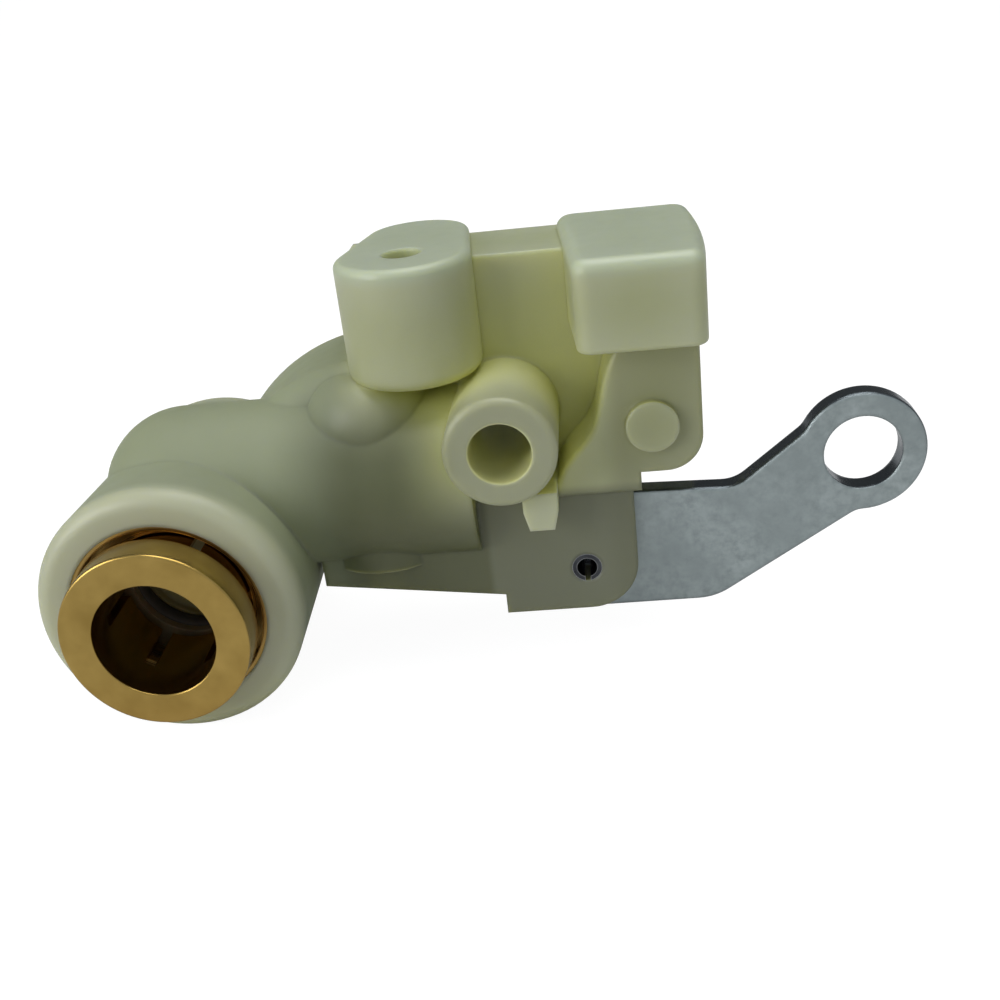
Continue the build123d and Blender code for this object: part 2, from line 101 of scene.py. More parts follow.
# %% [markdown]
# A product table is lit by a wide soft box overhead and a weaker one from the side.
# Large area lamps close to the part give broad, soft highlights. A point lamp would
# be simpler, but its small hard highlight makes moulded nylon look wet.

# %% Lamps
def soft_box(name, place, aim, size, power):
    """Adds a square area lamp at a place in mm, facing another place."""
    lamp = bpy.data.lights.new(name, "AREA")
    lamp.size = size
    lamp.energy = power
    box = bpy.data.objects.new(name, lamp)
    spot = Vector(place) * MM
    way = Vector(aim) * MM - spot
    box.location = spot
    box.rotation_euler = way.to_track_quat("-Z", "Y").to_euler()
    scene.collection.objects.link(box)
    return box


soft_box("overhead_box", (60, 20, 420), (0, 0, -15), 0.34, 1.4)
soft_box("side_box", (-420, -300, 160), (0, 0, -15), 0.30, 1.5)

# %% [markdown]
# The picture has a plain white ground. The world is white where the camera or a
# see-through ray meets it. For lighting it is a modest cool grey, brighter towards
# the photographer than behind the part, as in a room with its window at the front.
# That slope puts dark lines on the upper edges of the metal, as in the picture.

# %% World
world = bpy.data.worlds.new("studio_air")
world.use_nodes = True
scene.world = world
tree = world.node_tree
tree.nodes.clear()
way = tree.nodes.new("ShaderNodeTexCoord")
parts = tree.nodes.new("ShaderNodeSeparateXYZ")
tree.links.new(way.outputs["Generated"], parts.inputs[0])
slope = tree.nodes.new("ShaderNodeMapRange")
slope.interpolation_type = "SMOOTHSTEP"
slope.inputs["From Min"].default_value = 0.9
slope.inputs["From Max"].default_value = -0.7
slope.inputs["To Min"].default_value = 0.10
slope.inputs["To Max"].default_value = 0.68
tree.links.new(parts.outputs["Y"], slope.inputs["Value"])
fill = tree.nodes.new("ShaderNodeBackground")
fill.inputs["Color"].default_value = (0.90, 0.95, 1.0, 1)
tree.links.new(slope.outputs[0], fill.inputs["Strength"])
white = tree.nodes.new("ShaderNodeBackground")
white.inputs["Color"].default_value = (1, 1, 1, 1)
path = tree.nodes.new("ShaderNodeLightPath")
seen = tree.nodes.new("ShaderNodeMath")
seen.operation = "MAXIMUM"
tree.links.new(path.outputs["Is Camera Ray"], seen.inputs[0])
tree.links.new(path.outputs["Is Transmission Ray"], seen.inputs[1])
mix = tree.nodes.new("ShaderNodeMixShader")
tree.links.new(seen.outputs[0], mix.inputs["Fac"])
tree.links.new(fill.outputs[0], mix.inputs[1])
tree.links.new(white.outputs[0], mix.inputs[2])
out = tree.nodes.new("ShaderNodeOutputWorld")
tree.links.new(mix.outputs[0], out.inputs["Surface"])
print("world strength:", [round(slope.inputs[k].default_value, 2) for k in ("To Min", "To Max")])

# %% [markdown]
# The valve lies on a pale table, a large plane just under its lowest rim. To the
# camera most of the table's colour is its own light, so it reads as white out to the
# horizon, and the rest is a matt surface that still takes the part's shadow.

# %% Table
low = cad_box[0][2]
half = 6.0
table_mesh = bpy.data.meshes.new("table_top")
table_mesh.from_pydata(
    [(-half, -half, low), (half, -half, low), (half, half, low), (-half, half, low)],
    [],
    [(0, 1, 2, 3)],
)
table = bpy.data.objects.new("table_top", table_mesh)
scene.collection.objects.link(table)
table_look = bpy.data.materials.new("pale_table")
table_look.use_nodes = True
t = table_look.node_tree
t.nodes.clear()
matt = t.nodes.new("ShaderNodeBsdfDiffuse")
matt.inputs["Color"].default_value = (0.62, 0.62, 0.62, 1)
glow = t.nodes.new("ShaderNodeEmission")
glow.inputs["Strength"].default_value = 1.22
ray = t.nodes.new("ShaderNodeLightPath")
share = t.nodes.new("ShaderNodeMath")
share.operation = "MULTIPLY"
share.inputs[1].default_value = 0.78
blend = t.nodes.new("ShaderNodeMixShader")
end = t.nodes.new("ShaderNodeOutputMaterial")
t.links.new(ray.outputs["Is Camera Ray"], share.inputs[0])
t.links.new(share.outputs[0], blend.inputs["Fac"])
t.links.new(matt.outputs[0], blend.inputs[1])
t.links.new(glow.outputs[0], blend.inputs[2])
t.links.new(blend.outputs[0], end.inputs["Surface"])
table_mesh.materials.append(table_look)
print("table at", round(low / MM, 2), "mm")

# %% [markdown]
# Several finishes need the same effects: slow clouds of colour, a fine relief,
# light along worn edges and the rings of a lathe. Each is a node group with named
# sockets, made once, and the material that uses it says how large and how strong
# the effect is.

# %% Helpers for node groups
def new_group(name, inputs, outputs):
    """Starts a shader node group with float inputs and typed outputs."""
    group = bpy.data.node_groups.new(name, "ShaderNodeTree")
    for label, value in inputs:
        socket = group.interface.new_socket(label, in_out="INPUT", socket_type="NodeSocketFloat")
        socket.default_value = value
    for label, kind in outputs:
        group.interface.new_socket(label, in_out="OUTPUT", socket_type=kind)
    start = group.nodes.new("NodeGroupInput")
    finish = group.nodes.new("NodeGroupOutput")
    return group, start, finish


def add(tree, kind, **settings):
    """Adds a node and sets its own properties."""
    node = tree.nodes.new(kind)
    for key, value in settings.items():
        setattr(node, key, value)
    return node


def math_node(tree, operation, a, b=None):
    """Adds a math node fed by sockets or plain numbers."""
    node = add(tree, "ShaderNodeMath", operation=operation)
    for slot, value in zip(node.inputs, (a, b)):
        if value is None:
            continue
        if isinstance(value, (int, float)):
            slot.default_value = value
        else:
            tree.links.new(value, slot)
    return node.outputs[0]


def product(tree, *factors):
    """Multiplies any number of values."""
    result = factors[0]
    for factor in factors[1:]:
        result = math_node(tree, "MULTIPLY", result, factor)
    return result


def distance(tree, a, b):
    """Gives the length of the sum of two offsets at right angles."""
    squares = math_node(tree, "ADD", product(tree, a, a), product(tree, b, b))
    return math_node(tree, "SQRT", squares)


def fading(tree, value, start, end):
    """Fades a value from 0 at start to 1 at end, both in millimetres."""
    node = add(tree, "ShaderNodeMapRange", interpolation_type="SMOOTHSTEP")
    tree.links.new(value, node.inputs["Value"])
    node.inputs["From Min"].default_value = start * MM
    node.inputs["From Max"].default_value = end * MM
    return node.outputs[0]


FLOAT = "NodeSocketFloat"
VECTOR = "NodeSocketVector"

# %% Group: slow clouds of colour
clouds, c_in, c_out = new_group(
    "soft_clouds", [("Size per metre", 120.0), ("Contrast", 1.0)], [("Mask", FLOAT)]
)
place = add(clouds, "ShaderNodeTexCoord")
noise = add(clouds, "ShaderNodeTexNoise")
noise.inputs["Detail"].default_value = 3.0
noise.inputs["Roughness"].default_value = 0.55
clouds.links.new(place.outputs["Object"], noise.inputs["Vector"])
clouds.links.new(c_in.outputs["Size per metre"], noise.inputs["Scale"])
middle = math_node(clouds, "SUBTRACT", noise.outputs["Fac"], 0.5)
pushed = math_node(clouds, "MULTIPLY", middle, c_in.outputs["Contrast"])
mask = add(clouds, "ShaderNodeMath", operation="ADD", use_clamp=True)
mask.inputs[1].default_value = 0.5
clouds.links.new(pushed, mask.inputs[0])
clouds.links.new(mask.outputs[0], c_out.inputs["Mask"])

# %% Group: fine relief of a moulded or rolled surface
relief, r_in, r_out = new_group(
    "fine_relief",
    [("Size per metre", 1500.0), ("Strength", 0.2), ("Depth", 0.00003), ("Edge radius", 0.0003)],
    [("Normal", VECTOR)],
)
place = add(relief, "ShaderNodeTexCoord")
noise = add(relief, "ShaderNodeTexNoise")
noise.inputs["Detail"].default_value = 4.0
relief.links.new(place.outputs["Object"], noise.inputs["Vector"])
relief.links.new(r_in.outputs["Size per metre"], noise.inputs["Scale"])
rounded = add(relief, "ShaderNodeBevel", samples=6)
relief.links.new(r_in.outputs["Edge radius"], rounded.inputs["Radius"])
bump = add(relief, "ShaderNodeBump")
relief.links.new(r_in.outputs["Strength"], bump.inputs["Strength"])
relief.links.new(r_in.outputs["Depth"], bump.inputs["Distance"])
relief.links.new(noise.outputs["Fac"], bump.inputs["Height"])
relief.links.new(rounded.outputs["Normal"], bump.inputs["Normal"])
relief.links.new(bump.outputs["Normal"], r_out.inputs["Normal"])

# %% Group: light along worn edges
EDGE_GAIN = 6.0
edges, e_in, e_out = new_group(
    "worn_edges", [("Width", 0.0004), ("Amount", 1.0)], [("Mask", FLOAT)]
)
soft = add(edges, "ShaderNodeBevel", samples=6)
edges.links.new(e_in.outputs["Width"], soft.inputs["Radius"])
flat = add(edges, "ShaderNodeNewGeometry")
compare = add(edges, "ShaderNodeVectorMath", operation="DOT_PRODUCT")
edges.links.new(soft.outputs["Normal"], compare.inputs[0])
edges.links.new(flat.outputs["Normal"], compare.inputs[1])
turned_away = math_node(edges, "SUBTRACT", 1.0, compare.outputs["Value"])
strong = math_node(edges, "MULTIPLY", turned_away, EDGE_GAIN)
scaled = add(edges, "ShaderNodeMath", operation="MULTIPLY", use_clamp=True)
edges.links.new(strong, scaled.inputs[0])
edges.links.new(e_in.outputs["Amount"], scaled.inputs[1])
edges.links.new(scaled.outputs[0], e_out.inputs["Mask"])

# %% Group: rings left by a lathe round the port axis
rings, g_in, g_out = new_group(
    "lathe_rings", [("Rings per metre", 9000.0)], [("Height", FLOAT)]
)
place = add(rings, "ShaderNodeTexCoord")
split = add(rings, "ShaderNodeSeparateXYZ")
rings.links.new(place.outputs["Object"], split.inputs[0])
dx = math_node(rings, "SUBTRACT", split.outputs["X"], PORT_X * MM)
dz = math_node(rings, "SUBTRACT", split.outputs["Z"], PORT_Z * MM)
outward = distance(rings, dx, dz)
along = math_node(rings, "ADD", outward, math_node(rings, "ABSOLUTE", split.outputs["Y"]))
many = math_node(rings, "MULTIPLY", along, g_in.outputs["Rings per metre"])
line = add(rings, "ShaderNodeTexNoise", noise_dimensions="1D")
line.inputs["Detail"].default_value = 2.0
line.inputs["Scale"].default_value = 1.0
rings.links.new(many, line.inputs["W"])
rings.links.new(line.outputs["Fac"], g_out.inputs["Height"])

# %% [markdown]
# Light gathers in open places and fails in deep ones. Ambient occlusion measures
# that: rays sent outward tell how deep a point lies, and rays sent inward tell how
# thick the wall behind it is. The finishes use these masks to paint light and shade
# into their colours.

# %% Group: deep places
deep, d_in, d_out = new_group("deep_places", [("Reach", 0.006), ("Sharpness", 1.0)], [("Mask", FLOAT)])
sight = add(deep, "ShaderNodeAmbientOcclusion", samples=6)
deep.links.new(d_in.outputs["Reach"], sight.inputs["Distance"])
closed = math_node(deep, "SUBTRACT", 1.0, sight.outputs["AO"])
shaped = add(deep, "ShaderNodeMath", operation="POWER", use_clamp=True)
deep.links.new(closed, shaped.inputs[0])
deep.links.new(d_in.outputs["Sharpness"], shaped.inputs[1])
deep.links.new(shaped.outputs[0], d_out.inputs["Mask"])

# %% Group: thin walls
thin, t_in, t_out = new_group("thin_walls", [("Reach", 0.004)], [("Mask", FLOAT)])
sight = add(thin, "ShaderNodeAmbientOcclusion", samples=6, inside=True, only_local=True)
thin.links.new(t_in.outputs["Reach"], sight.inputs["Distance"])
near = add(thin, "ShaderNodeMath", operation="SUBTRACT", use_clamp=True)
near.inputs[0].default_value = 1.0
thin.links.new(sight.outputs["AO"], near.inputs[1])
thin.links.new(near.outputs[0], t_out.inputs["Mask"])

# %% [markdown]
# Milky nylon shows what lies under its skin, and most tones here are painted light
# and shade. A dark painted shade left of the round boss stands for the valve bore,
# with its brass and rubber, seen through the wall. Painted shade darkens the ears
# round the lever's slot and the low wall under the overhanging block, and the barrel
# is painted darker and greyer than the pads. The front of the round boss is a little
# darker and the bosses round the ports are paler. The tops of the pads get a pale,
# cool painted light, the wall of the hole through the round boss a painted glow, and
# inside a port a dim brown painted shade. One mask for each place puts these tones
# there. Each is a product of ranges, from no effect to full effect, in millimetres.

# %% Group: painted light and shade by place
painted_places, u_in, u_out = new_group("painted_light_and_place_tones", [("Amount", 1.0)], [])
place = add(painted_places, "ShaderNodeTexCoord")
split = add(painted_places, "ShaderNodeSeparateXYZ")
painted_places.links.new(place.outputs["Object"], split.inputs[0])
x, y, z = (split.outputs[axis] for axis in "XYZ")
depth = math_node(painted_places, "ABSOLUTE", y)
ahead = math_node(painted_places, "MULTIPLY", y, -1.0)
rise = math_node(painted_places, "SUBTRACT", z, PORT_Z * MM)
from_port = distance(painted_places, math_node(painted_places, "SUBTRACT", x, PORT_X * MM), rise)
from_hole = distance(
    painted_places,
    math_node(painted_places, "SUBTRACT", x, BOSS_X * MM),
    math_node(painted_places, "SUBTRACT", rise, BOSS_RISE * MM),
)
PLACES = {
    "Barrel": [(x, -3.5, -7.5), (rise, 19.0, 16.0), (depth, 13.0, 9.5)],
    "Port boss": [(depth, 9.5, 13.0)],
    "Low wall": [(x, 14.0, 16.5), (depth, 5.8, 4.9), (rise, 18.0, 16.5)],
    "Round boss": [(from_hole, 5.2, 4.7), (ahead, 4.0, 8.5)],
    "Slot": [(x, -5.0, 0.0), (depth, 5.6, 4.6), (rise, 5.6, 4.4)],
    "Bore": [(x, -13.0, -5.0), (x, 4.5, -2.5), (rise, 17.0, 9.0)],
    "Bore foot": [(x, -8.0, -3.0), (x, 5.0, 4.2), (rise, 8.5, 2.5)],
    "Hole": [(from_hole, 2.62, 2.52)],
    "Port": [(from_port, 6.6, 6.2)],
    "Tops": [(rise, 22.8, 24.3)],
}
for name, ranges in PLACES.items():
    painted_places.interface.new_socket(name, in_out="OUTPUT", socket_type=FLOAT)
    mask = product(painted_places, *(fading(painted_places, *one) for one in ranges), u_in.outputs["Amount"])
    painted_places.links.new(mask, u_out.inputs[name])
print("node groups:", [g.name for g in bpy.data.node_groups])

# %% [markdown]
# A material here is one Principled shader. Plain numbers such as metalness are set
# on the shader itself, and only what changes over the surface comes from nodes.

# %% Helpers for materials
def new_material(name, **values):
    """Starts a Principled material and sets plain values on its sockets."""
    look = bpy.data.materials.new(name)
    look.use_nodes = True
    shader = look.node_tree.nodes["Principled BSDF"]
    for key, value in values.items():
        shader.inputs[key.replace("_", " ")].default_value = value
    return look, look.node_tree, shader


def use_group(tree, group, **values):
    """Adds a shared group and sets its inputs."""
    node = add(tree, "ShaderNodeGroup", node_tree=group)
    for key, value in values.items():
        node.inputs[key.replace("_", " ")].default_value = value
    return node


def two_tones(tree, factor, first, second):
    """Mixes two colours by a mask socket and gives the colour socket."""
    mix = add(tree, "ShaderNodeMix", data_type="RGBA")
    tree.links.new(factor, mix.inputs[0])
    mix.inputs[6].default_value = (*first, 1.0)
    mix.inputs[7].default_value = (*second, 1.0)
    return mix.outputs[2]


def blend_to(tree, factor, colour, second):
    """Mixes a colour socket towards a plain colour by a mask socket."""
    mix = add(tree, "ShaderNodeMix", data_type="RGBA")
    tree.links.new(factor, mix.inputs[0])
    tree.links.new(colour, mix.inputs[6])
    mix.inputs[7].default_value = (*second, 1.0)
    return mix.outputs[2]


def range_of(tree, factor, low, high):
    """Maps a mask from 0..1 to a range of values."""
    node = add(tree, "ShaderNodeMapRange")
    tree.links.new(factor, node.inputs["Value"])
    node.inputs["To Min"].default_value = low
    node.inputs["To Max"].default_value = high
    return node.outputs[0]


# %% [markdown]
# The body is natural nylon, moulded without pigment. It is milky and lets light in,
# so it has subsurface scattering with a longer reach in red and green than in blue.
# Thick walls look olive. Thin walls are painted paler and greyer and deep corners a
# warm yellow glow, standing in for the light that crosses the nylon to reach them.
# The barrel came from a coarser face of the mould, so it is the mattest part.

# %% Material: natural nylon
nylon, tree, shader = new_material(
    "natural_nylon", Roughness=0.36, IOR=1.53, Subsurface_Weight=0.6, Subsurface_Scale=0.003
)
shader.inputs["Subsurface Radius"].default_value = (1.0, 0.92, 0.42)
wide = use_group(tree, clouds, Size_per_metre=55.0, Contrast=1.5)
fine = use_group(tree, clouds, Size_per_metre=420.0, Contrast=1.2)
tint = two_tones(tree, wide.outputs["Mask"], (0.265, 0.278, 0.122), (0.325, 0.338, 0.185))
# Painted light: thin walls get a paler, greyer tone standing in for light passing through them.
wall = use_group(tree, thin, Reach=0.0045)
tint = blend_to(tree, product(tree, wall.outputs["Mask"], 0.75), tint, (0.44, 0.455, 0.35))
# Painted light: deep corners get a warm yellow glow standing in for light that crosses the nylon.
corner = use_group(tree, deep, Reach=0.007, Sharpness=1.2)
tint = blend_to(tree, product(tree, corner.outputs["Mask"], 0.85), tint, (0.62, 0.62, 0.15))
place_masks = use_group(tree, painted_places)
# Painted light and shade: the Barrel, Low wall, Slot, Bore, Bore foot and Port tones are painted
# shade, and the Tops and Hole tones are painted light.
PLACE_TONES_AND_PAINTED_LIGHT = {
    "Barrel": (0.80, (0.185, 0.210, 0.135)),
    "Port boss": (0.80, (0.37, 0.375, 0.275)),
    "Low wall": (0.60, (0.175, 0.180, 0.090)),
    "Round boss": (0.65, (0.220, 0.226, 0.140)),
    "Slot": (0.85, (0.100, 0.105, 0.062)),
    "Bore": (0.90, (0.048, 0.056, 0.010)),
    "Bore foot": (0.92, (0.088, 0.094, 0.040)),
    "Hole": (0.60, (0.60, 0.60, 0.26)),
    "Port": (0.60, (0.26, 0.22, 0.08)),
    "Tops": (0.70, (0.36, 0.41, 0.32)),
}
for name, (share, tone) in PLACE_TONES_AND_PAINTED_LIGHT.items():
    tint = blend_to(tree, product(tree, place_masks.outputs[name], share), tint, tone)
tree.links.new(tint, shader.inputs["Base Color"])
coarse = math_node(tree, "MAXIMUM", place_masks.outputs["Barrel"], place_masks.outputs["Bore"])
gloss = range_of(tree, fine.outputs["Mask"], 0.28, 0.46)
gloss = math_node(tree, "ADD", gloss, product(tree, coarse, 0.22))
tree.links.new(gloss, shader.inputs["Roughness"])
skin = use_group(tree, relief, Size_per_metre=700.0, Strength=0.3, Depth=0.00005, Edge_radius=0.0005)
tree.links.new(skin.outputs["Normal"], shader.inputs["Normal"])

# %% [markdown]
# The spacers and the plunger guide are cream acetal. Deep in a port they are painted
# a dark brown shade, so they hardly show behind the collet.

# %% Material: guide plastic
guide_plastic, tree, shader = new_material(
    "guide_plastic", Roughness=0.42, IOR=1.5, Subsurface_Weight=0.3, Subsurface_Scale=0.002
)
wide = use_group(tree, clouds, Size_per_metre=260.0, Contrast=1.2)
tint = two_tones(tree, wide.outputs["Mask"], (0.58, 0.56, 0.44), (0.70, 0.69, 0.58))
# Painted shade: deep places are darkened towards brown.
deep_painted_shade = use_group(tree, deep, Reach=0.012, Sharpness=0.7)
tint = blend_to(tree, deep_painted_shade.outputs["Mask"], tint, (0.10, 0.07, 0.03))
tree.links.new(tint, shader.inputs["Base Color"])
skin = use_group(tree, relief, Size_per_metre=1400.0, Strength=0.2, Depth=0.00002, Edge_radius=0.0001)
tree.links.new(skin.outputs["Normal"], shader.inputs["Normal"])

# %% [markdown]
# Collets and sleeves are turned from brass bar. Fine rings from the tool follow the
# port axis, edges are a little brighter, and a thin brown film of handling varies
# the colour and the gloss. Down in the bore a red-brown painted tone stands in for
# the dim light bounced there.

# %% Material: turned brass
def turned_brass(name, bright, dull, low, high, painted_deep_tone):
    """Makes a turned brass finish from two tones, a roughness range and a painted tone for deep
    places, standing in for their dim light.
    """
    look, tree, shader = new_material(name, Metallic=1.0)
    film = use_group(tree, clouds, Size_per_metre=300.0, Contrast=1.8)
    rim = use_group(tree, edges, Width=0.0003, Amount=0.7)
    worn = math_node(tree, "MAXIMUM", film.outputs["Mask"], rim.outputs["Mask"])
    metal = two_tones(tree, worn, dull, bright)
    # Painted light and shade: deep places get a red-brown tone standing in for the dim light bounced
    # down the bore.
    inside = use_group(tree, deep, Reach=0.012, Sharpness=2.0)
    metal = blend_to(tree, inside.outputs["Mask"], metal, painted_deep_tone)
    tree.links.new(metal, shader.inputs["Base Color"])
    turned = use_group(tree, rings, Rings_per_metre=9000.0)
    tree.links.new(range_of(tree, turned.outputs["Height"], low, high), shader.inputs["Roughness"])
    rounded = add(tree, "ShaderNodeBevel", samples=6)
    rounded.inputs["Radius"].default_value = 0.00015
    bump = add(tree, "ShaderNodeBump")
    bump.inputs["Strength"].default_value = 0.22
    bump.inputs["Distance"].default_value = 0.000008
    tree.links.new(turned.outputs["Height"], bump.inputs["Height"])
    tree.links.new(rounded.outputs["Normal"], bump.inputs["Normal"])
    tree.links.new(bump.outputs["Normal"], shader.inputs["Normal"])
    return look


collet_brass = turned_brass(
    "collet_brass", (0.46, 0.315, 0.092), (0.30, 0.195, 0.05), 0.17, 0.30, painted_deep_tone=(0.55, 0.29, 0.055)
)
inner_brass = turned_brass(
    "inner_brass", (0.50, 0.34, 0.11), (0.31, 0.19, 0.06), 0.20, 0.38, painted_deep_tone=(0.24, 0.15, 0.04)
)

# %% [markdown]
# The lever is stamped from zinc-plated sheet. Plating leaves a cool grey with soft
# patches and small dull specks, and the broad faces are half matt. The punch rolls
# the edge over and burnishes it, so the edge is smoother and glossier. Its dark colour
# is a painted reflection of the dark surroundings that the edge faces.

# %% Material: zinc-plated sheet
zinc, tree, shader = new_material("zinc_sheet", Metallic=0.9)
patch = use_group(tree, clouds, Size_per_metre=190.0, Contrast=1.7)
speck = use_group(tree, clouds, Size_per_metre=1500.0, Contrast=2.4)
mixed = math_node(tree, "MULTIPLY", patch.outputs["Mask"], speck.outputs["Mask"])
facing = add(tree, "ShaderNodeNewGeometry")
turn = add(tree, "ShaderNodeSeparateXYZ")
tree.links.new(facing.outputs["Normal"], turn.inputs[0])
# Painted reflection: faces turned away from the broad faces are darkened, standing in for the dark
# surroundings the edge reflects.
rolled_edge_painted_dark = add(tree, "ShaderNodeMapRange", interpolation_type="SMOOTHSTEP")
tree.links.new(math_node(tree, "ABSOLUTE", turn.outputs["Y"]), rolled_edge_painted_dark.inputs["Value"])
rolled_edge_painted_dark.inputs["From Min"].default_value = 0.97
rolled_edge_painted_dark.inputs["From Max"].default_value = 0.60
plating = two_tones(tree, mixed, (0.27, 0.31, 0.31), (0.45, 0.50, 0.50))
plating = blend_to(tree, rolled_edge_painted_dark.outputs[0], plating, (0.10, 0.115, 0.125))
tree.links.new(plating, shader.inputs["Base Color"])
gloss = range_of(tree, speck.outputs["Mask"], 0.30, 0.50)
gloss = math_node(tree, "MULTIPLY", gloss, range_of(tree, rolled_edge_painted_dark.outputs[0], 1.0, 0.55))
tree.links.new(gloss, shader.inputs["Roughness"])
skin = use_group(tree, relief, Size_per_metre=700.0, Strength=0.35, Depth=0.00003, Edge_radius=0.00045)
tree.links.new(skin.outputs["Normal"], shader.inputs["Normal"])

# %% [markdown]
# The rolled pin, the spring and the retaining ring are hardened steel, blackened by
# oil after hardening. Only their rims are rubbed bright, which is what shows of the
# pin in the lever's ear: a dark hole with a thin light ring.

# %% Material: blackened spring steel
spring_steel, tree, shader = new_material("spring_steel", Metallic=1.0)
patch = use_group(tree, clouds, Size_per_metre=900.0, Contrast=1.6)
rim = use_group(tree, edges, Width=0.00012, Amount=0.8)
oiled = two_tones(tree, patch.outputs["Mask"], (0.035, 0.037, 0.042), (0.085, 0.088, 0.095))
oiled = blend_to(tree, rim.outputs["Mask"], oiled, (0.42, 0.43, 0.44))
tree.links.new(oiled, shader.inputs["Base Color"])
tree.links.new(range_of(tree, patch.outputs["Mask"], 0.24, 0.42), shader.inputs["Roughness"])

# %% [markdown]
# Seals are nitrile rubber: nearly black, matt, with a fine bloom.

# %% Material: seal rubber
rubber, tree, shader = new_material("seal_rubber", Roughness=0.6)
patch = use_group(tree, clouds, Size_per_metre=1200.0, Contrast=1.2)
tree.links.new(
    two_tones(tree, patch.outputs["Mask"], (0.012, 0.012, 0.013), (0.035, 0.035, 0.036)),
    shader.inputs["Base Color"],
)
skin = use_group(tree, relief, Size_per_metre=2500.0, Strength=0.2, Depth=0.00001, Edge_radius=0.0001)
tree.links.new(skin.outputs["Normal"], shader.inputs["Normal"])
print("materials:", [m.name for m in bpy.data.materials])

# %% [markdown]
# The solids already have the right shape for the body, lever, pin, sleeves, seals
# and the valve's small turned parts, so they keep their meshes and only get a
# finish. The collets and the spring are made anew further down.

# %% Dress the solids
FINISH = {
    "valve_body": nylon,
    "lever": zinc,
    "pivot_pin": spring_steel,
    "valve_seat": inner_brass,
    "seat_seal": rubber,
    "poppet": inner_brass,
    "poppet_face": rubber,
    "return_spring": spring_steel,
    "plunger": inner_brass,
    "plunger_guide": guide_plastic,
    "plunger_seal": rubber,
    "retaining_ring": spring_steel,
}
for port in ("delivery", "supply"):
    FINISH[port + "_collet"] = collet_brass
    FINISH[port + "_sleeve"] = inner_brass
    FINISH[port + "_spacer"] = guide_plastic
    FINISH[port + "_tube_seal"] = rubber
for name, look in FINISH.items():
    solid = nodes[name]
    solid.data.materials.clear()
    solid.data.materials.append(look)
print("dressed:", len(FINISH), "solids")

# %% [markdown]
# A push-in fitting grips the tube with a release collet: a turned brass ring whose
# tail is sawn into fingers. It could be one revolved mesh with the slots cut out by
# booleans, but those leave ragged edges. Instead one finger with its share of the
# head is modelled, and Geometry Nodes copies it round the port axis. Its section is
# a line of radii and of distances from the middle plane of the valve.

# %% Section of the collet
BORE_R, NECK_R, HEAD_R, FLARE_R = 4.85, 6.15, 7.50, 6.75
FACE, HEAD_BACK, TAIL, TIP, FLARE_END = 16.0, 13.2, 7.2, 7.6, 8.8
SLOT_TOP = 12.3
SLOT_WIDE = 0.9
TOOTH = 0.12


def rounded(corners, steps=5):
    """Rounds each (radius, distance, rounding) corner of an open line."""
    line = []
    for i, (r, a, rounding) in enumerate(corners):
        here = Vector((r, a))
        if rounding == 0 or i in (0, len(corners) - 1):
            line.append(here)
            continue
        before = (Vector(corners[i - 1][:2]) - here).normalized() * rounding
        after = (Vector(corners[i + 1][:2]) - here).normalized() * rounding
        for k in range(steps + 1):
            u = k / steps
            line.append(here + before * (1 - u) ** 2 + after * u**2)
    return line


head_line = rounded(
    [
        (NECK_R, SLOT_TOP, 0),
        (NECK_R, HEAD_BACK, 0.12),
        (HEAD_R, HEAD_BACK, 0.12),
        (HEAD_R, FACE, 0.24),
        (BORE_R, FACE, 0.14),
        (BORE_R, SLOT_TOP, 0),
    ]
)
finger_line = rounded(
    [
        (BORE_R, SLOT_TOP, 0),
        (BORE_R, TIP, 0),
        (BORE_R - TOOTH, TAIL, 0.03),
        (NECK_R, TAIL, 0.08),
        (FLARE_R, TIP, 0.10),
        (NECK_R, FLARE_END, 0.15),
        (NECK_R, SLOT_TOP, 0),
    ],
    steps=3,
)
print("points in the section:", len(head_line) + len(finger_line))

# %% One finger with its share of the head
FINGERS = 6
STEPS = 18
JOIN_WITHIN = 0.000004
CREASE = radians(32)


def finger_mesh(name):
    """Makes the mesh of one finger round the Y axis, open where the next one joins."""
    mesh = bmesh.new()
    share = pi / FINGERS

    def turned(point, angle):
        r, a = point
        return mesh.verts.new((r * MM * cos(angle + share), -a * MM, r * MM * sin(angle + share)))

    def columns(point, with_joint):
        limit = share - math.asin(SLOT_WIDE / 2 / point[0])
        angles = [limit * (2 * k / STEPS - 1) for k in range(STEPS + 1)]
        if with_joint:
            angles = [-share] + angles + [share]
        return [turned(point, angle) for angle in angles]

    head = [columns(p, True) for p in head_line]
    finger = [head[-1][1:-1]] + [columns(p, False) for p in finger_line[1:-1]] + [head[0][1:-1]]
    for rows in (head, finger):
        for near, far in zip(rows, rows[1:]):
            for k in range(len(near) - 1):
                mesh.faces.new((near[k], near[k + 1], far[k + 1], far[k]))
    for k in (0, len(head[0]) - 2):
        mesh.faces.new((head[-1][k], head[-1][k + 1], head[0][k + 1], head[0][k]))
    for edge in (0, -1):
        mesh.faces.new([row[edge] for row in finger])
    bmesh.ops.recalc_face_normals(mesh, faces=mesh.faces)
    data = bpy.data.meshes.new(name)
    mesh.to_mesh(data)
    mesh.free()
    return data


# %% [markdown]
# The node tree places copies of its own input on points that all lie on the axis,
# each turned one step further. Merging by distance then joins the shares of the head
# into one ring, and a last step carries the ring to its port.

